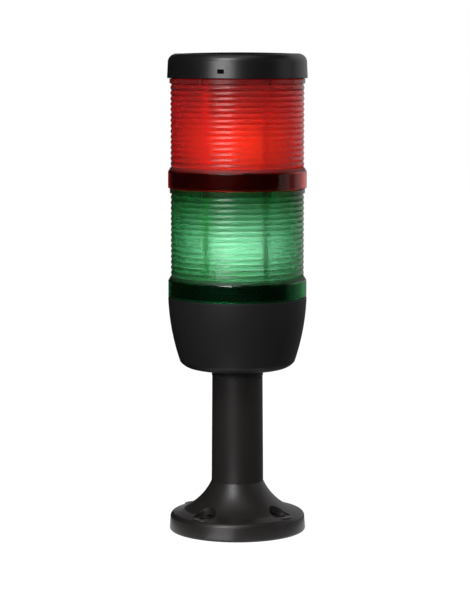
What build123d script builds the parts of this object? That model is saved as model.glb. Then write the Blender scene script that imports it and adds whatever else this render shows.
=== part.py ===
from build123d import *
import os
from math import asin, cos, degrees, radians

# Stack light: a foot and tube carry a base housing, a green and a red light unit, and a cap.
# Lengths are in millimetres and angles in degrees, anticlockwise from +X seen from above.
# +Z is up, the origin is the centre of the foot's underside, and the front faces -Y.
# The pieces of the base top, of a light unit and of the cap are drawn from height 0 at the
# joint plane that they belong to, and moved up at the end.

# Clearances
turn_gap = 0.3        # between pieces that turn against each other
rim_gap = 0.25        # open line under the rim of each stacked unit
sleeve_gap = 0.2      # between the carrier and the lens skirt round it
fit_gap = 0.1         # round pieces that are screwed or pushed into each other
contact_gap = 0.15    # between a contact strip and what backs it

# Width of the tower, which the foot, housing, lenses and cap keep to
skirt_radius = 34.7           # widest part of a lens
foot_step = 0.3               # by which the foot is narrower
housing_step = 0.1            # by which the housing is wider
cap_step = 0.3                # by which the cap is wider
foot_radius = skirt_radius - foot_step
housing_radius = skirt_radius + housing_step
cap_radius = skirt_radius + cap_step

# Foot and tube, one hollow moulding
foot_edge = 1.1               # rounding under the side of the foot
foot_draft = 0.4              # how far the side leans in
foot_side_height = 6.4
rim_round_width = 1.6
rim_round_height = 2.6
rim_round_bow = 0.5
flange_width = 5.4
flange_rise = 1.6
flare_bow = 1.7               # how far the flare sags under a straight line
foot_height = 25.0            # up to the crease between flare and tube
foot_wall = 3.0
tube_low_radius = 13.1
tube_draft = 0.35
tube_top = 78.0
tube_bore_radius = 10.2
bore_step_depth = 6.0         # from the tube's top down to the narrow bore
spigot_radius = 11.4          # screwed end that stands through the housing
spigot_wall = 2.4
spigot_reach = 6.6            # beyond the nut

# Mounting screws of the foot
mount_inset = 7.4             # from the side of the foot to a screw's centre
mount_circle = 2 * (foot_radius - mount_inset)
mount_count = 4
mount_first_angle = 45.0
mount_hole_radius = 2.4
pad_radius = 5.6
pad_height = 9.6

# Ribs under the foot, two between each pair of screw bosses
foot_rib_width = 1.6
foot_rib_inset = 1.0          # above the plane that the foot stands on
foot_rib_start = 13.0

# Base housing, seal and nut
tube_seal_thickness = 0.8
tube_seal_inset = 0.35
collar_radius = 12.95
collar_height = 3.8
housing_height = 35.9
housing_lean = 5.9            # how far the wall leans in towards the bottom
housing_bulge = 1.2
housing_corner_height = 3.4
housing_corner_bulge = 1.1
housing_wall = 2.4
housing_floor = 2.6
housing_edge = 0.3
ledge_width = 0.9             # step in the housing that the terminal carrier rests on
ledge_depth = 2.0
housing_flat = 4.25           # flat underside beyond the corners of the nut inside
nut_across_flats = 29.0
nut_height = 5.8
nut_chamfer = 1.6

# Bayonet between the stacked units, on the outside of each unit's top spigot
skirt_wall = 1.5
carrier_ring = 1.8            # wall of the carrier between the spigot and the lens skirt
bayonet_radius = skirt_radius - skirt_wall - sleeve_gap - carrier_ring - turn_gap
bayonet_wall = 1.9
bayonet_height = 6.5
bayonet_edge = 0.5
lug_count = 3
lug_first_angle = 90.0
lug_angle = 12.0
lug_reach = 1.1
lug_low = 3.0
lug_height = 1.5
lug_play = 0.2                # above and below a lug in its channel
twist_angle = 15.0
stop_play = 1.0               # degrees left at each end of a channel
ledge_angle = 1.5             # degrees by which a cap ledge outreaches its lug
stop_angle = 2.0

# Lens of a light unit
unit_pitch = 54.5
skirt_height = 8.4
skirt_edge = 0.3
shoulder_height = 2.2
shoulder_step = 1.35
rib_pitch = 2.7
rib_depth = 0.55
band_step = 0.9               # by which the top band is narrower than the skirt
band_height = 2.2
band_rise = 0.6
lens_wall = 2.45
neck_height = 3.0             # sloped run from the lens bore into its spigot
nose_angle = 9.0              # noses in the spigot that back the contact strips
nose_rise = 1.5               # above the joint plane
nose_height = 4.0

# Seal ring under each stacked unit
ring_seal_width = 1.6
ring_seal_thickness = 1.0

# Carrier of a light unit
web_gap = 0.4                 # above the spigot of the unit below
step_gap = 0.7
carrier_wall = 1.5
carrier_floor = 2.0
key_count = 3
key_angle = 8.0
key_height = 0.8
key_depth = 1.2
collar_wall = 2.2             # round the lamp socket
collar_rise = 4.0
tube_locator_wall = 1.4
tube_locator_height = 2.0

# Contacts between the units
contact_count = 6
contact_first_angle = 51.0
contact_inset = 2.5           # from the spigot's bore to the upright strips
contact_radius = bayonet_radius - bayonet_wall - contact_inset
contact_width = 1.8
contact_thickness = 0.5
contact_tip_height = 2.2      # above the joint plane
contact_tip_length = 6.5

# Clear tube round the lamp
clear_tube_radius = 17.0
clear_tube_wall = 1.2
clear_tube_rise = 1.5         # above the joint plane over it

# Lamp and socket
socket_radius = 8.25
socket_wall = 0.6
socket_height = 11.5
socket_slot_width = 2.4
socket_slot_depth = 5.2
socket_slot_turn = 20.0
insert_thickness = 2.5
plunger_radius = 1.3
plunger_spacing = 6.4
plunger_rise = 0.7
lamp_base_height = 10.8
lamp_pin_radius = 1.0
lamp_pin_reach = 0.7
bulb_radius = 9.0
bulb_neck_radius = 6.6
bulb_height = 24.0
bulb_shoulder = 6.0
bulb_shoulder_bow = 0.6
glass_wall = 0.8

# Terminals in the base
terminal_floor_drop = 10.0    # from the joint plane down to the floor's underside
terminal_floor = 2.0
floor_inside_clamps = 2.5
clamp_length = 5.6
clamp_width = 6.0
clamp_height = 5.5
clamp_screw_radius = 1.5
clamp_screw_head = 2.4
wire_hole_radius = 1.3
wire_hole_height = 1.9
carrier_screw_inset = 1.5     # inside the outer face of the contact strips
carrier_screw_count = 3       # each midway between two contacts
carrier_screw_radius = 1.5
carrier_screw_head = 2.9
carrier_screw_length = 9.0
screw_boss_radius = 3.2
screw_head_height = 1.6
slot_width = 0.8
slot_depth = 0.8

# Cap
cap_height = 13.0
cap_draft = 0.4
cap_corner_width = 5.1
cap_corner_height = 3.6
cap_corner_bulge = 1.25
cap_dome = 0.6
cap_wall = 1.8
cap_roof = 2.2
notch_width = 3.2
notch_height = 2.0
notch_depth = 0.8
notch_middle = 3.5            # above the cap's lower edge
notch_angle = 249.0

# Sizes that follow from the ones above
flange_edge_radius = foot_radius - foot_draft - rim_round_width
flange_edge_height = foot_side_height + rim_round_height
flange_root_radius = flange_edge_radius - flange_width
flange_root_height = flange_edge_height + flange_rise
tube_top_radius = tube_low_radius - tube_draft
spigot_bore_radius = spigot_radius - spigot_wall
housing_bottom = tube_top + tube_seal_thickness + collar_height
nut_bottom = housing_bottom + housing_floor
nut_corner_radius = nut_across_flats / 2 / cos(radians(30))
housing_corner_width = housing_radius - housing_lean - nut_corner_radius - housing_flat
spigot_top = nut_bottom + nut_height + spigot_reach
base_joint = housing_bottom + housing_height
bayonet_bore_radius = bayonet_radius - bayonet_wall
pocket_radius = bayonet_radius + lug_reach + turn_gap
carrier_mouth_radius = bayonet_radius + turn_gap
skirt_bore_radius = skirt_radius - skirt_wall
band_radius = skirt_radius - band_step
rib_crest_radius = skirt_radius - shoulder_step
rib_root_radius = rib_crest_radius - rib_depth
lens_bore_radius = rib_crest_radius - lens_wall
ribs_bottom = skirt_height + shoulder_height
ribs_top = unit_pitch - band_height - band_rise
rib_count = int((ribs_top - ribs_bottom) / rib_pitch)
carrier_underside = contact_tip_height + turn_gap + contact_thickness
carrier_floor_top = carrier_underside + carrier_floor
carrier_lip = ring_seal_thickness + turn_gap
contact_tip_radius = contact_radius - contact_tip_length
clamp_centre = contact_tip_radius - clamp_screw_head - turn_gap
clamp_start = clamp_centre - clamp_length / 2
wire_opening_radius = clamp_start - floor_inside_clamps
carrier_screw_circle = 2 * (contact_radius - carrier_screw_inset)
carrier_screw_first_angle = contact_first_angle + 180 / contact_count
cap_side_height = cap_height - cap_dome - cap_corner_height


def face_of(*runs):
    """Face inside a closed outline that is drawn as radius against height."""
    return Plane.XZ * make_face(Curve() + list(runs))


def bowed(start, end, bow):
    """Arc that bows out by the given height, to the right of its run."""
    return SagittaArc(start, end, -bow)


def turned(*runs):
    """Solid of revolution about the vertical axis."""
    return revolve(face_of(*runs), Axis.Z)


def ring(outer, inner, low, high):
    """Flat-ended ring between two radii and two heights."""
    return turned(Polyline((inner, low), (outer, low), (outer, high), (inner, high), close=True))


def disc(radius, low, high):
    """Flat-ended round plug."""
    return Pos(0, 0, low) * extrude(Circle(radius), high - low)


def sector(outer, inner, low, high, start, end):
    """Piece of a ring between two angles."""
    outline = Polyline((inner, low), (outer, low), (outer, high), (inner, high), close=True)
    return Rot(0, 0, start) * revolve(face_of(outline), Axis.Z, end - start)


def block(start, end, width, low, high):
    """Straight block that points outwards along +X between two radii."""
    return Pos((start + end) / 2, 0, (low + high) / 2) * Box(end - start, width, high - low)


def around(shape, count, first):
    """Copies of a shape, evenly spaced about the vertical axis."""
    return [Rot(0, 0, first + turn * 360 / count) * shape for turn in range(count)]


def lug_centres():
    return [lug_first_angle + turn * 360 / lug_count for turn in range(lug_count)]


def slotted_screw(head_radius, shank_radius, length):
    """Cheese-head screw with the underside of its head at height 0."""
    head = chamfer(disc(head_radius, 0, screw_head_height).edges().group_by(Axis.Z)[-1], slot_width / 4)
    slot = Pos(0, 0, screw_head_height) * Box(head_radius * 3, slot_width, slot_depth * 2)
    return head + disc(shank_radius, -length, 0) - slot


def foot_outside():
    """Outside of the foot, the tube and its screwed end, still without any hollow."""
    side = Line((foot_radius, foot_edge), (foot_radius - foot_draft, foot_side_height))
    rim = bowed(side @ 1, (flange_edge_radius, flange_edge_height), rim_round_bow)
    flange = Line(rim @ 1, (flange_root_radius, flange_root_height))
    flare = bowed(flange @ 1, (tube_low_radius, foot_height), -flare_bow)
    tube = Polyline(
        flare @ 1,
        (tube_top_radius, tube_top),
        (spigot_radius, tube_top),
        (spigot_radius, spigot_top),
        (0, spigot_top),
        (0, 0),
        (foot_radius - foot_edge, 0),
    )
    edge = bowed(tube @ 1, side @ 0, foot_edge * 0.3)
    return turned(side, rim, flange, flare, tube, edge)


def foot_hollow():
    """Space under the foot, which follows the outside at the thickness of the wall."""
    roof_root = flange_root_radius - foot_wall / 3
    side = Polyline(
        (0, foot_height - foot_wall / 2),
        (0, -1),
        (foot_radius - foot_wall, -1),
        (foot_radius - foot_draft - foot_wall, foot_side_height - foot_wall / 3),
        (roof_root, flange_root_height - foot_wall),
    )
    flare = bowed(side @ 1, (tube_bore_radius, foot_height - foot_wall / 2), -flare_bow)
    return turned(side, flare, Line(flare @ 1, side @ 0))


def foot_tube():
    outside = foot_outside()
    hollow = foot_hollow()
    clear_pad = Pos(mount_circle / 2, 0) * disc(pad_radius, pad_height, foot_height)
    boss = Pos(mount_circle / 2, 0) * disc(pad_radius, 0, pad_height)
    hole = Pos(mount_circle / 2, 0) * disc(mount_hole_radius, -1, pad_height + 1)
    rib_end = foot_radius - foot_wall / 2
    rib = block(foot_rib_start, rib_end, foot_rib_width, foot_rib_inset, foot_height)
    shell = outside - hollow
    shell = shell + [rib_copy & (outside & hollow) for rib_copy in around(rib, mount_count * 2, mount_first_angle / 2)]
    shell = shell - around(clear_pad, mount_count, mount_first_angle)
    shell = shell + around(boss, mount_count, mount_first_angle)
    shell = shell - around(hole, mount_count, mount_first_angle)
    step = tube_top - bore_step_depth
    slope = tube_bore_radius - spigot_bore_radius
    bore = turned(
        Polyline(
            (0, foot_height / 2),
            (tube_bore_radius, foot_height / 2),
            (tube_bore_radius, step),
            (spigot_bore_radius, step + slope),
            (spigot_bore_radius, spigot_top + 1),
            (0, spigot_top + 1),
            close=True,
        )
    )
    return shell - bore


def tube_seal():
    outer = tube_top_radius - tube_seal_inset
    return ring(outer, spigot_radius + fit_gap, tube_top, tube_top + tube_seal_thickness)


def housing_outside():
    """Outside of the base housing and its collar, still without its hollow."""
    foot_of_wall = (housing_radius - housing_lean, housing_bottom + housing_corner_height)
    flat_radius = foot_of_wall[0] - housing_corner_width
    collar = Polyline(
        (0, base_joint),
        (0, housing_bottom - collar_height),
        (collar_radius, housing_bottom - collar_height),
        (collar_radius, housing_bottom),
        (flat_radius, housing_bottom),
    )
    corner = bowed(collar @ 1, foot_of_wall, housing_corner_bulge)
    wall = bowed(corner @ 1, (housing_radius, base_joint - housing_edge), housing_bulge)
    top = Polyline(wall @ 1, (housing_radius - housing_edge, base_joint), collar @ 0)
    return turned(collar, corner, wall, top)


def housing_hollow():
    """Inside of the base housing, open at the top."""
    foot_of_wall = (housing_radius - housing_lean - housing_wall, nut_bottom + housing_corner_height)
    mouth_radius = housing_radius - housing_wall
    mouth_bottom = base_joint - ledge_depth
    floor = Line((0, nut_bottom), (foot_of_wall[0] - housing_corner_width, nut_bottom))
    corner = bowed(floor @ 1, foot_of_wall, housing_corner_bulge)
    wall = bowed(corner @ 1, (mouth_radius - ledge_width, mouth_bottom), housing_bulge)
    mouth = Polyline(
        wall @ 1,
        (mouth_radius, mouth_bottom),
        (mouth_radius, base_joint + 1),
        (0, base_joint + 1),
        floor @ 0,
    )
    return turned(floor, corner, wall, mouth)


def base_housing():
    boss_top = base_joint - terminal_floor_drop
    centre = Pos(carrier_screw_circle / 2, 0)
    boss = centre * disc(screw_boss_radius, nut_bottom - 1, boss_top)
    pilot = centre * disc(carrier_screw_radius + fit_gap, boss_top - carrier_screw_length, boss_top + 1)
    shell = housing_outside() - housing_hollow()
    shell = shell + around(boss, carrier_screw_count, carrier_screw_first_angle)
    shell = shell - around(pilot, carrier_screw_count, carrier_screw_first_angle)
    return shell - disc(spigot_radius + fit_gap, tube_top, base_joint)


def tube_nut():
    """Hexagon nut that clamps the housing to the tube. Its flats face the screw bosses beside it."""
    hexagon = extrude(RegularPolygon(nut_across_flats / 2, 6, major_radius=False), nut_height)
    turned_off = turned(
        Polyline(
            (0, 0),
            (nut_corner_radius, 0),
            (nut_corner_radius, nut_height - nut_chamfer / 2),
            (nut_corner_radius - nut_chamfer, nut_height),
            (0, nut_height),
            close=True,
        )
    )
    bore = disc(spigot_radius + fit_gap, -1, nut_height + 1)
    flat_to_boss = Rot(0, 0, carrier_screw_first_angle - 30)
    return Pos(0, 0, nut_bottom) * flat_to_boss * ((hexagon & turned_off) - bore)


def bayonet_lugs():
    """Lugs on the outside of a spigot, fused a little way into its wall."""
    half = lug_angle / 2
    reach = bayonet_radius + lug_reach
    root = bayonet_radius - bayonet_wall / 2
    return [
        sector(reach, root, lug_low, lug_low + lug_height, centre - half, centre + half)
        for centre in lug_centres()
    ]


def bayonet_slots():
    """Room for the lugs in a piece that turns on the spigot: a way in from below and a channel."""
    slots = []
    inner = bayonet_radius
    low = lug_low - lug_play
    high = lug_low + lug_height + lug_play
    reach = lug_angle / 2 + stop_play
    for centre in lug_centres():
        way_in = centre - twist_angle
        slots.append(sector(pocket_radius, inner, 0, high, way_in - reach, way_in + reach))
        slots.append(sector(pocket_radius, inner, low, high, way_in - reach, centre + reach))
    return slots


def terminal_carrier():
    """Insert in the housing's mouth: spigot with lugs, and the floor that holds the terminals."""
    underside = -terminal_floor_drop
    flange = ring(housing_radius - housing_wall - fit_gap, bayonet_bore_radius, -ledge_depth, 0)
    wall = ring(bayonet_radius, bayonet_bore_radius, underside, bayonet_height - bayonet_edge)
    lip = ring(bayonet_radius - bayonet_edge, bayonet_bore_radius, 0, bayonet_height)
    floor = ring(bayonet_radius, wire_opening_radius, underside, underside + terminal_floor)
    body = wall + lip + flange + floor + bayonet_lugs()
    screw_hole = Pos(carrier_screw_circle / 2, 0) * disc(carrier_screw_radius + fit_gap, underside - 1, 0)
    return body - around(screw_hole, carrier_screw_count, carrier_screw_first_angle)


def strip(foot_start, low, top):
    """Bent contact strip: a foot, an upright at the outside, and a tip that points inwards."""
    inside = contact_radius - contact_thickness
    outline = Polyline(
        (contact_radius, low),
        (foot_start, low),
        (foot_start, low + contact_thickness),
        (inside, low + contact_thickness),
        (inside, top - contact_thickness),
        (contact_tip_radius, top - contact_thickness),
        (contact_tip_radius, top),
        (contact_radius, top),
        close=True,
    )
    return extrude(face_of(outline), contact_width / 2, both=True)


def base_contact():
    """Strip whose foot lies under its clamp."""
    low = terminal_floor - terminal_floor_drop
    return strip(clamp_start, low, contact_tip_height)


def terminal_clamp():
    low = terminal_floor - terminal_floor_drop + contact_thickness
    body = block(clamp_start, clamp_start + clamp_length, clamp_width, low, low + clamp_height)
    wire_height = low + wire_hole_height
    wire_way = Pos(clamp_start - 1, 0, wire_height) * Rot(0, 90, 0) * extrude(Circle(wire_hole_radius), clamp_length)
    tapped = Pos(clamp_centre, 0) * disc(clamp_screw_radius + fit_gap, wire_height, low + clamp_height + 1)
    return body - wire_way - tapped


def terminal_screw():
    seat = terminal_floor - terminal_floor_drop + contact_thickness + clamp_height
    length = clamp_height - wire_hole_height - wire_hole_radius
    return Pos(clamp_centre, 0, seat) * slotted_screw(clamp_screw_head, clamp_screw_radius, length)


def carrier_screw():
    seat = terminal_floor - terminal_floor_drop
    screw = slotted_screw(carrier_screw_head, carrier_screw_radius, carrier_screw_length)
    return Pos(carrier_screw_circle / 2, 0, seat) * screw


def ring_seal():
    inner = bayonet_radius + turn_gap
    return ring(inner + ring_seal_width, inner, 0, ring_seal_thickness)


def rib_runs(start_height):
    """Convex ribs of the lens, one above the other."""
    return [
        bowed(
            (rib_root_radius, start_height + turn * rib_pitch),
            (rib_root_radius, start_height + (turn + 1) * rib_pitch),
            rib_depth,
        )
        for turn in range(rib_count)
    ]


def lens_body():
    """Skirt, shoulder, ribs, top band and spigot of the lens, turned as one outline."""
    spare = ribs_top - ribs_bottom - rib_count * rib_pitch
    first_rib = ribs_bottom + spare / 2
    skirt = Polyline(
        (skirt_bore_radius, rim_gap),
        (skirt_radius - skirt_edge, rim_gap),
        (skirt_radius, rim_gap + skirt_edge),
        (skirt_radius, skirt_height),
        (rib_crest_radius, ribs_bottom),
        (rib_root_radius, first_rib),
    )
    ribs = rib_runs(first_rib)
    neck_bottom = ribs_top - neck_height
    rest = Polyline(
        ribs[-1] @ 1,
        (rib_root_radius, ribs_top),
        (band_radius, ribs_top + band_rise),
        (band_radius, unit_pitch - skirt_edge),
        (band_radius - skirt_edge, unit_pitch),
        (bayonet_radius, unit_pitch),
        (bayonet_radius, unit_pitch + bayonet_height - bayonet_edge),
        (bayonet_radius - bayonet_edge, unit_pitch + bayonet_height),
        (bayonet_bore_radius, unit_pitch + bayonet_height),
        (bayonet_bore_radius, ribs_top),
        (lens_bore_radius, neck_bottom),
        (lens_bore_radius, skirt_height),
        (skirt_bore_radius, skirt_height),
        skirt @ 0,
    )
    return turned(skirt, *ribs, rest)


def strip_noses():
    """Noses on the inside of the spigot that back the contact strips near their tips."""
    nose = sector(
        bayonet_radius - bayonet_wall / 2,
        contact_radius + contact_gap,
        unit_pitch + nose_rise - nose_height,
        unit_pitch + nose_rise,
        -nose_angle / 2,
        nose_angle / 2,
    )
    return around(nose, contact_count, contact_first_angle)


def key_blocks(clearance):
    """Keys that stop the carrier turning in the lens, or with a clearance the pockets for them."""
    half = key_angle / 2 + clearance * 2
    outer = lens_bore_radius + key_depth + clearance
    top = skirt_height + key_height + clearance
    return [
        sector(outer, lens_bore_radius, skirt_height - clearance, top, centre - half, centre + half)
        for centre in [30 + turn * 360 / key_count for turn in range(key_count)]
    ]


def lens():
    lugs = [Pos(0, 0, unit_pitch) * lug for lug in bayonet_lugs()]
    return lens_body() - key_blocks(fit_gap) + lugs + strip_noses()


def carrier():
    """Black piece in the skirt of the lens: it turns on the spigot below and holds the lamp socket."""
    step_radius = bayonet_bore_radius - step_gap
    web_underside = bayonet_height + web_gap
    socket_hole_radius = socket_radius + fit_gap
    collar_top = carrier_floor_top + collar_rise
    locator_radius = clear_tube_radius - clear_tube_wall - fit_gap
    body = turned(
        Polyline(
            (socket_hole_radius, carrier_underside),
            (step_radius, carrier_underside),
            (step_radius, web_underside),
            (carrier_mouth_radius, web_underside),
            (carrier_mouth_radius, carrier_lip),
            (skirt_bore_radius - sleeve_gap, carrier_lip),
            (skirt_bore_radius - sleeve_gap, skirt_height),
            (step_radius - carrier_wall, skirt_height),
            (step_radius - carrier_wall, carrier_floor_top),
            (locator_radius, carrier_floor_top),
            (locator_radius, carrier_floor_top + tube_locator_height),
            (locator_radius - tube_locator_wall, carrier_floor_top + tube_locator_height),
            (locator_radius - tube_locator_wall, carrier_floor_top),
            (socket_hole_radius + collar_wall, carrier_floor_top),
            (socket_hole_radius + collar_wall, collar_top),
            (socket_hole_radius, collar_top),
            close=True,
        )
    )
    strip_way = block(
        contact_radius - contact_thickness - fit_gap,
        contact_radius + fit_gap,
        contact_width + fit_gap * 2,
        carrier_underside - 1,
        carrier_floor_top + 1,
    )
    body = body + [key & disc(lens_bore_radius + key_depth, 0, unit_pitch) for key in key_blocks(0)]
    return body - bayonet_slots() - around(strip_way, contact_count, contact_first_angle)


def unit_contact():
    """Strip from the pad under the carrier's floor up to the tip that the unit above touches."""
    low = carrier_underside - contact_thickness
    return strip(contact_tip_radius, low, unit_pitch + contact_tip_height)


def clear_tube():
    inner = clear_tube_radius - clear_tube_wall
    return ring(clear_tube_radius, inner, carrier_floor_top, unit_pitch + clear_tube_rise)


def socket_slot_bottom():
    return socket_height - socket_slot_depth


def lamp_socket():
    """Thin metal shell with two bent slots that the lamp's pins drop into and turn along."""
    shell = ring(socket_radius, socket_radius - socket_wall, 0, socket_height)
    slots = []
    inner = socket_radius - socket_wall * 2
    outer = socket_radius + socket_wall
    half = socket_slot_width / 2
    middle = socket_slot_bottom() + half
    turn_slot = sector(outer, inner, middle - half, middle + half, 0, socket_slot_turn)
    drop_slot = block(inner - 1, outer, socket_slot_width, middle, socket_height + 1)
    way_in = Rot(0, 0, socket_slot_turn) * drop_slot
    slot_end = Pos(inner - 1, 0, middle) * Rot(0, 90, 0) * extrude(Circle(half), outer - inner + 1)
    for side in (0, 180):
        slots.append(Rot(0, 0, side) * turn_slot)
        slots.append(Rot(0, 0, side) * way_in)
        slots.append(Rot(0, 0, side) * slot_end)
    return shell - slots


def plunger_places():
    return [Pos(0, side * plunger_spacing / 2) for side in (-1, 1)]


def socket_insert():
    """Insulating disc in the bottom of the socket, with a hole for each plunger."""
    plug = disc(socket_radius - socket_wall - fit_gap / 2, 0, insert_thickness)
    return plug - [place * disc(plunger_radius + fit_gap, -1, insert_thickness + 1) for place in plunger_places()]


def plunger():
    """Round-ended contact under the lamp."""
    pin = disc(plunger_radius, 0, insert_thickness + plunger_rise)
    return fillet(pin.edges().group_by(Axis.Z)[-1], plunger_radius / 2)


def lamp_base():
    """Metal base of the lamp, with the two pins that lock it in the socket."""
    bottom = insert_thickness + plunger_rise
    radius = socket_radius - socket_wall - fit_gap
    shell = disc(radius, bottom, bottom + lamp_base_height)
    shell = chamfer(shell.edges().group_by(Axis.Z)[0], plunger_rise)
    pin = Pos(0, 0, socket_slot_bottom() + socket_slot_width / 2) * Rot(0, 90, 0)
    pin = pin * extrude(Circle(lamp_pin_radius), radius + lamp_pin_reach, both=True)
    return shell + pin


def bulb_shape(radius, neck_radius, bottom, crown):
    """Solid glass shape: neck, swelling shoulder, straight side and round crown."""
    shoulder_top = bottom + bulb_shoulder
    shoulder = bowed((neck_radius, bottom), (radius, shoulder_top), bulb_shoulder_bow)
    side = Line(shoulder @ 1, (radius, crown - radius))
    top = CenterArc((0, crown - radius), radius, 0, 90)
    return turned(shoulder, side, top, Polyline((0, crown), (0, bottom), shoulder @ 0))


def lamp_bulb():
    """Frosted glass bulb, blown hollow, with its neck in the rim of the lamp's base."""
    bottom = insert_thickness + plunger_rise + lamp_base_height
    glass = bulb_shape(bulb_radius, bulb_neck_radius, bottom, bottom + bulb_height)
    room = bulb_shape(
        bulb_radius - glass_wall,
        bulb_neck_radius - glass_wall,
        bottom + glass_wall,
        bottom + bulb_height - glass_wall,
    )
    return glass - room


def cap_ledges():
    """Ledges inside the cap that hold under the lugs, each with a stop at its end."""
    ledges = []
    outer = cap_radius - cap_wall / 2
    half = lug_angle / 2
    stop = half + stop_play
    for centre in lug_centres():
        start = centre - half - ledge_angle
        end = centre + stop + stop_angle
        ledges.append(sector(outer, carrier_mouth_radius, carrier_lip, lug_low - lug_play, start, end))
        ledges.append(sector(outer, carrier_mouth_radius, carrier_lip, bayonet_height, centre + stop, end))
    return ledges


def cap():
    """Round lid with a slightly domed roof and a soft upper edge."""
    side_radius = cap_radius - cap_draft
    corner_radius = side_radius - cap_corner_width
    side = Polyline(
        (cap_radius - skirt_edge, rim_gap),
        (cap_radius, rim_gap + skirt_edge),
        (side_radius, cap_side_height),
    )
    corner = bowed(side @ 1, (corner_radius, cap_height - cap_dome), cap_corner_bulge)
    dome_radius = (corner_radius**2 + cap_dome**2) / (2 * cap_dome)
    half_angle = degrees(asin(corner_radius / dome_radius))
    roof = CenterArc((0, cap_height - dome_radius), dome_radius, 90 - half_angle, half_angle)
    outside = turned(side, corner, roof, Polyline(roof @ 1, (0, rim_gap), side @ 0))
    hollow_top = cap_height - cap_dome - cap_roof
    hollow_side = Polyline(
        (0, hollow_top),
        (0, -1),
        (cap_radius - cap_wall, -1),
        (side_radius - cap_wall, hollow_top - cap_corner_height + cap_wall),
    )
    hollow_corner = bowed(hollow_side @ 1, (corner_radius, hollow_top), cap_corner_bulge / 2)
    hollow = turned(hollow_side, hollow_corner, Line(hollow_corner @ 1, hollow_side @ 0))
    notch = block(cap_radius - notch_depth, cap_radius + 1, notch_width, 0, notch_height)
    notch = Rot(0, 0, notch_angle) * Pos(0, 0, rim_gap + notch_middle - notch_height / 2) * notch
    return outside - hollow + cap_ledges() - notch


def keep(name, shape, height):
    """Write one named piece, moved up to the joint plane that it was drawn from."""
    solids = shape if isinstance(shape, list) else [shape]
    placed = [Pos(0, 0, height) * solid for item in solids for solid in item.solids()]
    export_step(placed[0] if len(placed) == 1 else Compound(children=placed), f"parts/{name}.step")


def keep_base():
    keep("foot_tube", foot_tube(), 0)
    keep("tube_seal", tube_seal(), 0)
    keep("base_housing", base_housing(), 0)
    keep("tube_nut", tube_nut(), 0)
    keep("terminal_carrier", terminal_carrier(), base_joint)
    keep("base_contacts", around(base_contact(), contact_count, contact_first_angle), base_joint)
    keep("terminal_clamps", around(terminal_clamp(), contact_count, contact_first_angle), base_joint)
    keep("terminal_screws", around(terminal_screw(), contact_count, contact_first_angle), base_joint)
    keep("carrier_screws", around(carrier_screw(), carrier_screw_count, carrier_screw_first_angle), base_joint)
    keep("base_seal", ring_seal(), base_joint)


def keep_unit(colour, height):
    keep(f"{colour}_lens", lens(), height)
    keep(f"{colour}_carrier", carrier(), height)
    keep(f"{colour}_contacts", around(unit_contact(), contact_count, contact_first_angle), height)
    keep(f"{colour}_clear_tube", clear_tube(), height)
    keep(f"{colour}_socket", lamp_socket(), height)
    keep(f"{colour}_socket_insert", socket_insert(), height)
    keep(f"{colour}_plungers", [place * plunger() for place in plunger_places()], height)
    keep(f"{colour}_lamp_base", lamp_base(), height)
    keep(f"{colour}_lamp_bulb", lamp_bulb(), height)
    keep(f"{colour}_seal", ring_seal(), height + unit_pitch)


os.makedirs("parts", exist_ok=True)
keep_base()
for floor_number, unit_colour in enumerate(("green", "red")):
    keep_unit(unit_colour, base_joint + floor_number * unit_pitch)
keep("cap", cap(), base_joint + 2 * unit_pitch)
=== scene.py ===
# %% [markdown]
# # A two-tier stack light
#
# A stack light stands on a machine and shows its state from far away: here a green and a red
# unit on a black base, a straight tube and a round foot. The solid model arrives finished, as
# a frame that is already in place. This lesson gives it its surfaces, its light and its camera.
# Every length is in metres, the origin is under the middle of the foot, and +Z is up.

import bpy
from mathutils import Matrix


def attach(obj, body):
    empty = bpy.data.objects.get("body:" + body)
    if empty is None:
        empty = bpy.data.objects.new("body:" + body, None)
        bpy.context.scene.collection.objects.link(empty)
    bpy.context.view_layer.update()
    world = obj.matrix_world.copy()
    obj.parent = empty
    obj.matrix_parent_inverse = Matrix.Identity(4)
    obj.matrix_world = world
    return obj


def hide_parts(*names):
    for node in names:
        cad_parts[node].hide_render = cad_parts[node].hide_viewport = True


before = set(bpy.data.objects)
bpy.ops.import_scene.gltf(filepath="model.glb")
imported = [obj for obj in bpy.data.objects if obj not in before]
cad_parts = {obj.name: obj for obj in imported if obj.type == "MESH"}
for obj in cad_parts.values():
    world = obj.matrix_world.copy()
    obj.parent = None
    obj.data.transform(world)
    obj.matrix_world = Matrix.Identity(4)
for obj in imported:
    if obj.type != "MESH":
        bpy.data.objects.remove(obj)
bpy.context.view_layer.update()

# %% [markdown]
# ## Tools for the rest of the lesson
#
# The program's own module, `bpy`, holds everything. The short names below are for the few
# mathematical functions that the shapes need.

# %% Modules
from math import cos, log, pi, radians, sin

import bpy
from mathutils import Vector

scene = bpy.context.scene
print("program version", bpy.app.version_string)

# %% [markdown]
# ## The camera
#
# The photograph was taken from a little over a metre away with a long lens, with the eye level
# with the cap and looking slightly down, so the foot shows a little of its top. It stands
# 7.5 degrees to the left of the front. A long lens could be faked with a flat projection, but
# then the foot and the cap would both lose the slight curve of their edges.

# %% Camera
CAMERA_SIDE = radians(-7.5)
CAMERA_REACH = 1.104
CAMERA_HEIGHT = 0.2413
CAMERA_DIP = radians(6.45)
LENS_MILLIMETRES = 132.6
SENSOR_MILLIMETRES = 36.0

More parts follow.
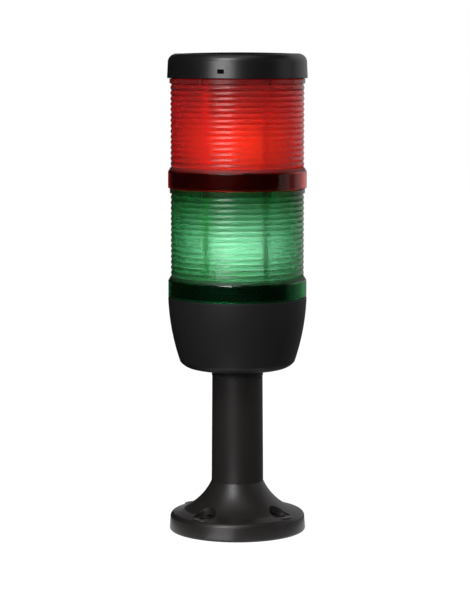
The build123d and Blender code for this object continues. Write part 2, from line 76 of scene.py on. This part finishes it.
camera_data = bpy.data.cameras.new("studio_camera")
camera_data.lens = LENS_MILLIMETRES
camera_data.sensor_width = SENSOR_MILLIMETRES
camera_data.shift_x = -0.004
camera_data.shift_y = 0.0008
camera = bpy.data.objects.new("studio_camera", camera_data)
camera.location = (CAMERA_REACH * sin(CAMERA_SIDE), -CAMERA_REACH * cos(CAMERA_SIDE), CAMERA_HEIGHT)
camera.rotation_euler = (pi / 2 - CAMERA_DIP, 0.0, CAMERA_SIDE)
scene.collection.objects.link(camera)
scene.camera = camera
scene.view_settings.view_transform = "Standard"
print("camera at", [round(value, 3) for value in camera.location])

# %% [markdown]
# ## Building node trees in few lines
#
# A material is a small graph of nodes. `new_surface` makes an empty one. `node` adds a node and
# fills its sockets by name, each with a fixed value or from another node's output, so that each
# finish below reads from top to bottom like a recipe.

# %% Node helpers
def fill(tree, socket, value):
    """Give a socket a fixed value, or lead another node's output into it."""
    if isinstance(value, bpy.types.NodeSocket):
        tree.links.new(value, socket)
    else:
        socket.default_value = value


def node(tree, kind, **inputs):
    """Add a node and fill its inputs by name, with spaces written as underscores."""
    made = tree.nodes.new(kind)
    for name, value in inputs.items():
        fill(tree, made.inputs[name.replace("_", " ")], value)
    return made


def new_surface(name):
    """A material with an empty tree, returned with that tree."""
    surface = bpy.data.materials.new(name)
    surface.use_nodes = True
    surface.node_tree.nodes.clear()
    return surface, surface.node_tree


def rgb(red, green, blue):
    """Colour as the sockets want it, with full opacity as its fourth number."""
    return (red, green, blue, 1.0)


WHITE = rgb(1.0, 1.0, 1.0)
print("node helpers ready")

# %% [markdown]
# ## Sums and mixes
#
# Two kinds of node have inputs that share one name: the one that does a step of arithmetic, and
# the one that mixes two shaders. Their helpers fill the inputs in order instead.

# %% Sum and mix helpers
def reckon(tree, operation, *values):
    """One step of arithmetic on numbers and other nodes' outputs."""
    total = tree.nodes.new("ShaderNodeMath")
    total.operation = operation
    for socket, value in zip(total.inputs, values):
        fill(tree, socket, value)
    return total.outputs[0]


def blend(tree, share, first, second):
    """Mix two shaders: only the first where the share is 0, only the second where it is 1."""
    mix = tree.nodes.new("ShaderNodeMixShader")
    for socket, value in zip(mix.inputs, (share, first, second)):
        fill(tree, socket, value)
    return mix.outputs[0]


print("sum and mix helpers ready")

# %% [markdown]
# ## The room: white behind, plain light around
#
# The backdrop and the floor of the photograph are pure white. If lamps made them so, the
# object would be flooded too. Instead the world has two strengths: a plain one that lights the
# object, and a strength of 1, which is white, for every ray that looks at the background, also
# through the lenses or in a shiny surface.

# %% World
ROOM_LIGHT = 0.45

world = bpy.data.worlds.new("studio_room")
world.use_nodes = True
scene.world = world
room = world.node_tree
room.nodes.clear()


def looking_ray(tree):
    """Value 1 on rays that look at the background: straight, in a reflection or through glass."""
    path = tree.nodes.new("ShaderNodeLightPath")
    straight = reckon(tree, "MAXIMUM", path.outputs["Is Camera Ray"], path.outputs["Is Glossy Ray"])
    return reckon(tree, "MAXIMUM", straight, path.outputs["Is Transmission Ray"])


plain = node(room, "ShaderNodeBackground", Color=WHITE, Strength=ROOM_LIGHT)
white = node(room, "ShaderNodeBackground", Color=WHITE, Strength=1.0)
either = blend(room, looking_ray(room), plain.outputs[0], white.outputs[0])
node(room, "ShaderNodeOutputWorld", Surface=either)
print("room light", ROOM_LIGHT)

# %% [markdown]
# ## The floor
#
# The floor is a wide sheet of the same white. It is mostly its own white, and partly a matt
# surface under the lamps, so that the foot still darkens it where it stands.

# %% Floor
FLOOR_HALF = 6.0
FLOOR_OWN_WHITE = 0.86
FLOOR_GLOW = 1.09

floor_mesh = bpy.data.meshes.new("studio_floor")
corners = [(x * FLOOR_HALF, y * FLOOR_HALF, 0.0) for x, y in ((-1, -1), (1, -1), (1, 1), (-1, 1))]
floor_mesh.from_pydata(corners, [], [(0, 1, 2, 3)])
floor = bpy.data.objects.new("studio_floor", floor_mesh)
scene.collection.objects.link(floor)

floor_paper, tree = new_surface("white_paper")
matt = node(tree, "ShaderNodeBsdfDiffuse", Color=rgb(0.9, 0.9, 0.9), Roughness=1.0)
own = node(tree, "ShaderNodeEmission", Color=WHITE, Strength=FLOOR_GLOW)
own_share = reckon(tree, "MULTIPLY", looking_ray(tree), FLOOR_OWN_WHITE)
mixed_white = blend(tree, own_share, matt.outputs[0], own.outputs[0])
node(tree, "ShaderNodeOutputMaterial", Surface=mixed_white)
floor_mesh.materials.append(floor_paper)
print("floor", 2 * FLOOR_HALF, "m wide")

# %% [markdown]
# ## Lamps
#
# The photograph shows a highlight down the left of every round piece. Two lamps make it, one
# above the other, 25 degrees to the left of the camera. The low one shines on the upright walls,
# and the high one on the slopes of the foot, the lens shoulders and the cap. One tall lamp would
# do the same, but then the walls mirror too much of it. A wide soft light overhead picks out the
# foot's top, and a weak one from the right opens the shadow side.

# %% Lamps
STRIP_SIDE = -32
STRIP_REACH = 0.9
RIGHT_SIDE = 75


def soft_light(name, place, aim, width, height, radiance):
    """Area light of a given brightness per area, so that its size can change on its own."""
    data = bpy.data.lights.new(name, "AREA")
    data.shape = "RECTANGLE"
    data.size = width
    data.size_y = height
    data.energy = radiance * pi * width * height
    lamp = bpy.data.objects.new(name, data)
    lamp.location = place
    look = [a - p for a, p in zip(aim, place)]
    lamp.rotation_euler = Vector(look).to_track_quat("-Z", "Y").to_euler()
    scene.collection.objects.link(lamp)
    print(name, "aims at", aim)


def round_object(side, reach, height):
    """Place on a circle round the object, with the angle counted as the camera's is."""
    return (reach * sin(radians(side)), -reach * cos(radians(side)), height)


soft_light(
    "low_strip", round_object(STRIP_SIDE, STRIP_REACH, 0.40), aim=(0, 0, 0.22),
    width=0.50, height=0.31, radiance=10.3,
)
soft_light(
    "high_strip", round_object(STRIP_SIDE, STRIP_REACH, 1.08), aim=(0, 0, 0.10),
    width=0.46, height=0.50, radiance=12.5,
)
soft_light(
    "overhead_light", (-0.15, -0.2, 1.25), aim=(0, 0, 0.1), width=0.9, height=0.9, radiance=0.9
)
soft_light(
    "right_light", round_object(RIGHT_SIDE, 1.1, 0.45), aim=(0, 0, 0.15),
    width=0.5, height=0.8, radiance=0.5,
)

# %% [markdown]
# ## Cards that only reflections and glass can see
#
# A shiny black object in a white room would turn grey, because it mirrors the white. A
# photographer stands black cards just outside the picture, and a pale one where an edge should
# shine. A piece of paper here lights, shades and hides nothing: only reflections see it, and,
# where it is made for that too, the rays that a lens wall bends out of their way.

# %% Paper helper
HIDDEN_FROM = ("camera", "diffuse", "volume_scatter", "shadow")


def paper(name, points, faces, tones, through=False):
    """Stage object in plain tones, one tone for each face in turn."""
    mesh = bpy.data.meshes.new(name)
    mesh.from_pydata(points, [], faces)
    made = bpy.data.objects.new(name, mesh)
    scene.collection.objects.link(made)
    for ray_kind in HIDDEN_FROM:
        setattr(made, "visible_" + ray_kind, False)
    made.visible_transmission = through
    for i, tone in enumerate(tones):
        surface, tree = new_surface(f"{name}_paper_{i}")
        glow = node(tree, "ShaderNodeEmission", Color=rgb(tone, tone, tone), Strength=1.0)
        node(tree, "ShaderNodeOutputMaterial", Surface=glow.outputs[0])
        mesh.materials.append(surface)
    for face in mesh.polygons:
        face.material_index = face.index % len(tones)


print("paper is hidden from:", ", ".join(HIDDEN_FROM))

# %% [markdown]
# ## Where the cards stand
#
# Each card is a curved wall with a strip of table in front of it. The long black one runs round
# the left, the front and most of the right, and the lenses see it too. The grey ones stand
# behind on the right, where they give the right edges of the black pieces a faint sheen. One
# closed black ring would be simpler, but it would leave those edges too dark.

# %% Cards
CARD_REACH = 1.4
CARD_TOP = 1.35
CARD_STEP = 6
TABLE_START = 0.05
TABLE_LEVEL = 0.0003
BLACK = 0.01


def card(name, first, last, table_tone, wall_tone, through=False):
    """Table top and wall between two angles."""
    steps = int((last - first) / CARD_STEP) + 1
    angles = [first + step * (last - first) / (steps - 1) for step in range(steps)]
    places = [(TABLE_START, TABLE_LEVEL), (CARD_REACH, TABLE_LEVEL), (CARD_REACH, CARD_TOP)]
    points = [round_object(angle, reach, level) for angle in angles for reach, level in places]
    faces = []
    for i in range(steps - 1):
        for j in (0, 1):
            faces.append((3 * i + j, 3 * i + 3 + j, 3 * i + 4 + j, 3 * i + 1 + j))
    paper(name, points, faces, (table_tone, wall_tone), through)


card("back_card", -178, -164, BLACK, BLACK)
card("black_card", -164, 84, BLACK, BLACK, through=True)
card("dark_grey_card", 84, 102, 0.06, 0.16)
card("grey_card", 102, 150, 0.14, 0.6)
card("far_grey_card", 150, 178, 0.3, 0.45)
print("cards stand", CARD_REACH, "m from the object")

# %% [markdown]
# ## The ceiling and the bright patch
#
# A black sheet closes the ring of cards at the top, so that the rounded edges don't mirror the
# white room above it. A small bright patch of table just in front of the foot is what the foot's
# rim mirrors. A lamp there would do the same, but it would also light the floor.

# %% Ceiling and patch
CEILING_CORNERS = 48
PATCH_CORNERS = ((-38, 0.038), (-13, 0.038), (-13, 0.09), (-38, 0.09))
PATCH_LEVEL = 0.0006
PATCH_TONE = 4.6

turns = [step * 360 / CEILING_CORNERS for step in range(CEILING_CORNERS)]
ceiling = [round_object(turn, CARD_REACH, CARD_TOP) for turn in turns]
paper("black_ceiling", ceiling, [tuple(range(CEILING_CORNERS))], tones=(BLACK,))
patch = [round_object(side, reach, PATCH_LEVEL) for side, reach in PATCH_CORNERS]
paper("mirrored_strip", patch, [(0, 1, 2, 3)], tones=(PATCH_TONE,))
print("ceiling with", len(ceiling), "corners and patch with", len(patch))

# %% [markdown]
# ## Patterns in a surface
#
# No real surface is one flat tone. Every finish below starts from a noise that stays with the
# object, and uses it to mix two tones or to move a value a little below and above its middle.
# A picture could carry such marks too, but a noise never runs out and never shows a seam.

# %% Pattern helpers
NOISE_SPAN = (0.3, 0.7)
FINE_RELIEF = 0.00001


def object_place(tree):
    """The point on the object that is being coloured."""
    return tree.nodes.new("ShaderNodeTexCoord").outputs["Object"]


def noise(tree, place, **inputs):
    """Soft random pattern, mostly between the two ends of NOISE_SPAN."""
    return node(tree, "ShaderNodeTexNoise", Vector=place, **inputs).outputs["Fac"]


def two_tones(tree, share, first, second):
    """Mix two colours: only the first where the share is 0, only the second where it is 1."""
    tone = tree.nodes.new("ShaderNodeMix")
    tone.data_type = "RGBA"
    fill(tree, tone.inputs["Factor"], share)
    fill(tree, tone.inputs["A"], rgb(*first))
    fill(tree, tone.inputs["B"], rgb(*second))
    return tone.outputs["Result"]


def ramp(tree, value, span, low, high):
    """Lead a value from one number to another over a span, and hold it level beyond both ends."""
    sloped = node(
        tree, "ShaderNodeMapRange",
        Value=value, From_Min=span[0], From_Max=span[1], To_Min=low, To_Max=high,
    )
    return sloped.outputs["Result"]


def varied(tree, pattern, middle, below, above):
    """A number that a pattern moves a little below and above its middle."""
    return ramp(tree, pattern, NOISE_SPAN, middle - below, middle + above)


print("pattern helpers ready")

# %% [markdown]
# ## Black moulded plastic
#
# The foot, the tube, the housing and the cap are injection moulded in black. The mould leaves a
# fine grain, the melt flows in faint cloudy streaks, and the gloss changes a little with the
# grain. The recipe mixes two nearly equal blacks by a large soft noise, and drives the roughness
# and a very small bump by a fine one. The bevel node rounds the look of each sharp edge, where
# real tooling always has a small radius.

# %% Moulded plastic recipe
def moulded_plastic(
    name, dark, light, roughness, grain_size, grain_height, edge=0.00025, specular=0.5
):
    """Opaque plastic with cloudy colour, a fine grain and softened edges."""
    surface, tree = new_surface(name)
    place = object_place(tree)
    clouds = noise(tree, place, Scale=38.0, Detail=3.0, Roughness=0.6)
    grain = noise(tree, place, Scale=1.0 / grain_size, Detail=4.0, Roughness=0.65)
    soft_edge = node(tree, "ShaderNodeBevel", Radius=edge)
    soft_edge.samples = 4
    bump = node(
        tree, "ShaderNodeBump",
        Strength=1.0, Distance=grain_height, Height=grain, Normal=soft_edge.outputs["Normal"],
    )
    shader = node(
        tree, "ShaderNodeBsdfPrincipled",
        Base_Color=two_tones(tree, clouds, dark, light),
        Roughness=varied(tree, grain, roughness, below=0.04, above=0.05),
        Specular_IOR_Level=specular, Normal=bump.outputs["Normal"],
    )
    node(tree, "ShaderNodeOutputMaterial", Surface=shader.outputs[0])
    return surface


print("recipe for moulded plastic ready")

# %% [markdown]
# ## Four blacks
#
# The four blacks differ little. The foot is a warm black with some gloss, the housing is duller
# and neutral, the cap is the darkest and shiniest, and the pieces inside are dull. They could
# share one material, but in the photograph the foot is plainly browner than the housing.

# %% Black plastics
def dress(surface, *nodes):
    """Give each solid node one material."""
    for name in nodes:
        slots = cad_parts[name].data.materials
        slots.clear()
        slots.append(surface)
    print(surface.name, "on", ", ".join(nodes))


foot_black = moulded_plastic(
    "foot_plastic", dark=(0.0095, 0.0078, 0.0074), light=(0.0135, 0.0115, 0.0108),
    roughness=0.37, grain_size=0.0006, grain_height=FINE_RELIEF, specular=0.42,
)
housing_black = moulded_plastic(
    "housing_plastic", dark=(0.0062, 0.0061, 0.0064), light=(0.0090, 0.0088, 0.0091),
    roughness=0.46, grain_size=0.0005, grain_height=FINE_RELIEF, specular=0.28,
)
cap_black = moulded_plastic(
    "cap_plastic", dark=(0.0036, 0.0031, 0.0031), light=(0.0058, 0.0051, 0.0051),
    roughness=0.32, grain_size=0.0005, grain_height=0.000006,
)
inner_black = moulded_plastic(
    "inner_plastic", dark=(0.004, 0.004, 0.0042), light=(0.007, 0.007, 0.0072),
    roughness=0.5, grain_size=0.0005, grain_height=FINE_RELIEF, specular=0.06,
)
dress(foot_black, "foot_tube")
dress(cap_black, "cap")
dress(inner_black, "terminal_carrier", "green_carrier", "red_carrier")
dress(inner_black, "green_socket_insert", "red_socket_insert")

# %% [markdown]
# ## The cap's matt roof and the painted shade in its notch
#
# The flat roof of such a cap comes from a part of the mould that is left matt, so it stays dark
# where the side shines. The floor of its small notch is made matt and dark as well: that is
# painted shade, which keeps the recess dark. The height picks out the roof, and the distance
# from the axis picks out what lies deeper than the side wall.

# %% Matt roof and painted shade of the cap
ROOF_START = 0.2397
SIDE_TOP = 0.2360
NOTCH_FLOOR = 0.0343


def distance_from_axis(tree, split):
    """Distance from the upright axis, for a point split into its coordinates."""
    flat = node(tree, "ShaderNodeCombineXYZ", X=split.outputs["X"], Y=split.outputs["Y"])
    distance = tree.nodes.new("ShaderNodeVectorMath")
    distance.operation = "LENGTH"
    fill(tree, distance.inputs[0], flat.outputs[0])
    return distance.outputs["Value"]


tree = cap_black.node_tree
split = node(tree, "ShaderNodeSeparateXYZ", Vector=object_place(tree))
level = split.outputs["Z"]
# The notch mask marks where shade is painted: deeper than the side wall and below its top.
deep = reckon(tree, "LESS_THAN", distance_from_axis(tree, split), NOTCH_FLOOR)
notch_painted_shade = reckon(tree, "MULTIPLY", deep, reckon(tree, "LESS_THAN", level, SIDE_TOP))
roof = reckon(tree, "GREATER_THAN", level, ROOF_START)
matt_and_painted_shade_share = reckon(tree, "MAXIMUM", notch_painted_shade, roof)
# This dull black is a matt finish on the roof and painted shade in the notch.
dull = node(tree, "ShaderNodeBsdfDiffuse", Color=rgb(0.0045, 0.0040, 0.0040), Roughness=1.0)
shiny = tree.nodes["Principled BSDF"]
cap_finish_with_painted_shade = blend(tree, matt_and_painted_shade_share, shiny.outputs[0], dull.outputs[0])
fill(tree, tree.nodes["Material Output"].inputs["Surface"], cap_finish_with_painted_shade)
print("roof matt above", ROOF_START, "m")

# %% [markdown]
# ## The housing's lower corner
#
# Three screw bosses stand on the housing's floor. In the solid model their outer edges come
# 0.7 mm through the curved lower corner, where the real moulding is smooth. A copy stands for
# the housing here, with those few points pulled back onto the curve and shaded along it, and
# the original is hidden. A solid node stays as it is, so a copy stands for it here, with those
# few points pulled back onto the curve and shaded along it. The corner's centre is given as
# its distance from the axis and its height, and a point that is nearer to the curve than TOUCH
# counts as lying on it.

# %% Housing shell
CORNER_CENTRE = (0.021838, 0.091528)
CORNER_RADIUS = 0.008968
BOSS_FOOT = 0.0842
TOUCH = 0.00001


def corner_offset(point):
    """Vector from the corner's own centre, in the point's upright plane."""
    outward = Vector((point.x, point.y, 0.0)).normalized()
    return point - outward * CORNER_CENTRE[0] - Vector((0.0, 0.0, CORNER_CENTRE[1]))


shell_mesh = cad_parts["base_housing"].data.copy()
shell = bpy.data.objects.new("housing_shell", shell_mesh)
scene.collection.objects.link(shell)
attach(shell, "base")
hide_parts("base_housing")
shades = [corner.vector.copy() for corner in shell_mesh.corner_normals]
pulled = set()
for vertex in shell_mesh.vertices:
    offset = corner_offset(vertex.co)
    if abs(vertex.co.z - BOSS_FOOT) < TOUCH and offset.length > CORNER_RADIUS + TOUCH:
        vertex.co += offset.normalized() * (CORNER_RADIUS - offset.length)
        pulled.add(vertex.index)
for face in shell_mesh.polygons:
    if pulled.intersection(face.vertices):
        for loop in face.loop_indices:
            corner_point = shell_mesh.vertices[shell_mesh.loops[loop].vertex_index].co
            shades[loop] = corner_offset(corner_point).normalized()
shell_mesh.normals_split_custom_set(shades)
shell_mesh.materials.clear()
shell_mesh.materials.append(housing_black)
print("points pulled back onto the corner:", len(pulled))

# %% [markdown]
# ## Rubber
#
# The seal rings are matt and slightly dusty black rubber, softer at the edges than plastic. The
# plastic's recipe makes it as well, with a duller surface and a finer grain.

# %% Rubber
seal_rubber = moulded_plastic(
    "seal_rubber", dark=(0.010, 0.010, 0.010), light=(0.020, 0.020, 0.019),
    roughness=0.7, grain_size=0.0003, grain_height=FINE_RELIEF, edge=0.0003,
)
dress(seal_rubber, "tube_seal", "base_seal", "green_seal", "red_seal")

# %% [markdown]
# ## Metals
#
# The contacts, clamps, plungers and lamp bases are brass, and the screws, nut and sockets are
# zinc plated steel. A metal's colour is in its reflection. Noise stretched upright makes the
# rolling marks, and a soft one makes the duller patches that handling leaves.

# %% Metal recipe
MARKS_PER_METRE = (2600.0, 2600.0, 260.0)


def worked_metal(name, bright, dull, roughness):
    """Metal with fine rolling marks and duller patches."""
    surface, tree = new_surface(name)
    place = object_place(tree)
    stretched = node(tree, "ShaderNodeMapping", Vector=place, Scale=MARKS_PER_METRE)
    marks = noise(tree, stretched.outputs["Vector"], Scale=1.0, Detail=2.0)
    patches = noise(tree, place, Scale=220.0, Detail=3.0)
    bump = node(tree, "ShaderNodeBump", Strength=0.6, Distance=FINE_RELIEF, Height=marks)
    shader = node(
        tree, "ShaderNodeBsdfPrincipled", Metallic=1.0,
        Base_Color=two_tones(tree, patches, bright, dull),
        Roughness=varied(tree, marks, roughness, below=0.08, above=0.1),
        Normal=bump.outputs["Normal"],
    )
    node(tree, "ShaderNodeOutputMaterial", Surface=shader.outputs[0])
    return surface


brass = worked_metal(
    "spring_brass", bright=(0.78, 0.57, 0.26), dull=(0.62, 0.44, 0.19), roughness=0.32
)
zinc_steel = worked_metal(
    "zinc_steel", bright=(0.62, 0.62, 0.60), dull=(0.48, 0.48, 0.47), roughness=0.34
)
for colour in ("green", "red"):
    dress(brass, colour + "_contacts", colour + "_plungers", colour + "_lamp_base")
    dress(zinc_steel, colour + "_socket")
dress(brass, "base_contacts", "terminal_clamps")
dress(zinc_steel, "tube_nut", "terminal_screws", "carrier_screws")

# %% [markdown]
# ## Where a lens shines
#
# The skirt of a lens is polished, its ribs are satin, the sloped shoulder between them is duller,
# and the bore is frosted, which spreads the lamp's light. Each could be a material of its own on
# its own faces. Here the roughness follows the place instead, by the height and the distance
# from the axis, so that one finish runs softly into the next.

# %% Lens gloss
POLISHED = 0.12
SATIN = 0.22
FROSTED = 1.0
SLOPE_DULLING = 0.35
BORE_TO_OUTSIDE = (0.0311, 0.0316)
SKIRT_BLEND = 0.0015
SLOPE_HEIGHT = 0.0028
SLOPE_BLEND = 0.0008


def lens_gloss(tree, split, skirt_top):
    """Roughness by place: frosted bore, polished skirt, dulled slope, satin ribs."""
    level = split.outputs["Z"]
    slope_top = skirt_top + SLOPE_HEIGHT
    outside = ramp(tree, level, (skirt_top, skirt_top + SKIRT_BLEND), POLISHED, SATIN)
    slope = ramp(tree, level, (slope_top, slope_top + SLOPE_BLEND), SLOPE_DULLING, 0.0)
    over_skirt = reckon(tree, "GREATER_THAN", level, skirt_top)
    outside = reckon(tree, "ADD", outside, reckon(tree, "MULTIPLY", slope, over_skirt))
    return ramp(tree, distance_from_axis(tree, split), BORE_TO_OUTSIDE, FROSTED, outside)


print("lens gloss from", POLISHED, "to", FROSTED)

# %% [markdown]
# ## Lens plastic
#
# The lenses are clear coloured plastic with a slight moulded haze. Light that goes through one
# wall takes the tint once, and what is behind both walls takes it twice, as the white backdrop
# does, because the colour is in the depth of the plastic. A coloured surface would be quicker,
# but it gives thick and thin parts the same tint. Rays that carry lamplight go straight through,
# tinted by the dye alone, because a path tracer finds a lamp behind glass only by chance.

# %% Lens recipe
WALL = 0.0023
PLASTIC_INDEX = 1.5


def let_lamplight_pass(tree, shader, kept):
    """Rays that carry lamplight go straight through and keep this share at each face."""
    passing = node(tree, "ShaderNodeBsdfTransparent", Color=rgb(kept, kept, kept))
    path = tree.nodes.new("ShaderNodeLightPath")
    return blend(tree, path.outputs["Is Shadow Ray"], shader, passing.outputs[0])


def coloured_lens(name, tint, skirt_top, rib_haze):
    """Clear plastic dyed all through; tint is what one wall lets pass of each colour."""
    surface, tree = new_surface(name)
    place = object_place(tree)
    split = node(tree, "ShaderNodeSeparateXYZ", Vector=place)
    haze_span = (skirt_top, skirt_top + SKIRT_BLEND)
    flow = noise(tree, place, Scale=160.0, Detail=3.0, Roughness=0.55)
    bump = node(tree, "ShaderNodeBump", Strength=0.5, Distance=FINE_RELIEF, Height=flow)
    clear = node(
        tree, "ShaderNodeBsdfPrincipled",
        Base_Color=WHITE, IOR=PLASTIC_INDEX, Specular_Tint=rgb(0.6, 0.6, 0.6),
        Roughness=lens_gloss(tree, split, skirt_top),
        Transmission_Weight=ramp(tree, split.outputs["Z"], haze_span, 1.0, 1.0 - rib_haze),
        Normal=bump.outputs["Normal"],
    )
    loss = [-log(share) / WALL for share in tint]
    dye = node(
        tree, "ShaderNodeVolumeAbsorption",
        Color=rgb(*[1 - part / max(loss) for part in loss]), Density=max(loss),
    )
    lamplit = let_lamplight_pass(tree, clear.outputs[0], kept=1.0)
    node(tree, "ShaderNodeOutputMaterial", Surface=lamplit, Volume=dye.outputs[0])
    return surface


print("recipe for lens plastic ready")

# %% [markdown]
# ## The two lenses
#
# A tint says how much red, green and blue one wall lets pass. The green lens lets some of every
# colour pass, so its lamp shows as a pale green glow, and the red one holds back nearly
# everything but red. The ribs of each start a little above the top of its skirt.

# %% Lenses
green_plastic = coloured_lens(
    "green_lens_plastic", tint=(0.085, 0.552, 0.23), skirt_top=0.1275, rib_haze=0.003
)
red_plastic = coloured_lens(
    "red_lens_plastic", tint=(0.875, 0.062, 0.030), skirt_top=0.182, rib_haze=0.008
)
dress(green_plastic, "green_lens")
dress(red_plastic, "red_lens")

# %% [markdown]
# ## The lamp
#
# Both lamps are lit. The bulb is frosted glass, so its whole surface glows, most at the height
# of the filament and less towards both ends. A plain glow all over would be simpler, but the
# photograph shows each unit brightest round one height.

# %% Bulbs
def lit_bulb(name, glow, strength, middle, reach):
    """Frosted glass that glows most at one height; at a reach from there it is down to 37 %."""
    surface, tree = new_surface(name)
    place = object_place(tree)
    height = node(tree, "ShaderNodeSeparateXYZ", Vector=place).outputs["Z"]
    offset = reckon(tree, "DIVIDE", reckon(tree, "SUBTRACT", height, middle), reach)
    square = reckon(tree, "POWER", offset, 2.0)
    fading = reckon(tree, "EXPONENT", reckon(tree, "MULTIPLY", square, -1.0))
    frost = noise(tree, place, Scale=1500.0, Detail=3.0)
    bump = node(tree, "ShaderNodeBump", Strength=0.5, Distance=FINE_RELIEF, Height=frost)
    glass = node(
        tree, "ShaderNodeBsdfPrincipled",
        Base_Color=rgb(0.9, 0.88, 0.84), Roughness=0.4, Emission_Color=rgb(*glow),
        Emission_Strength=reckon(tree, "MULTIPLY", fading, strength),
        Normal=bump.outputs["Normal"],
    )
    node(tree, "ShaderNodeOutputMaterial", Surface=glass.outputs[0])
    return surface


green_glass = lit_bulb(
    "green_bulb_glass", glow=(1.0, 0.36, 0.60), strength=14.0, middle=0.1442, reach=0.0058
)
red_glass = lit_bulb(
    "red_bulb_glass", glow=(1.0, 0.97, 0.20), strength=1.15, middle=0.194, reach=0.0090
)
dress(green_glass, "green_lamp_bulb")
dress(red_glass, "red_lamp_bulb")

# %% [markdown]
# ## The tube round the lamp
#
# The milky tube round each bulb spreads its glow over the tube's whole width, brightest level
# with the bulb. The tube is part clear and part scattering: the translucent share carries the
# light of the bulb to its outside, and the clear share keeps the tube's edges visible.

# %% Milky tubes
def milky_tube(name, milk):
    """Clear tube with a share of scattering plastic."""
    surface, tree = new_surface(name)
    streaks = noise(tree, object_place(tree), Scale=420.0, Detail=2.0)
    clear = node(
        tree, "ShaderNodeBsdfPrincipled",
        Base_Color=rgb(0.96, 0.97, 0.96), Roughness=0.18, IOR=1.45, Transmission_Weight=1.0,
    )
    scatter = node(tree, "ShaderNodeBsdfTranslucent", Color=rgb(0.95, 0.95, 0.93))
    milky_share = varied(tree, streaks, milk, below=0.04, above=0.04)
    milky = blend(tree, milky_share, clear.outputs[0], scatter.outputs[0])
    lamplit = let_lamplight_pass(tree, milky, kept=0.95)
    node(tree, "ShaderNodeOutputMaterial", Surface=lamplit)
    return surface


dress(milky_tube("milky_tube_plastic", milk=0.5), "green_clear_tube", "red_clear_tube")
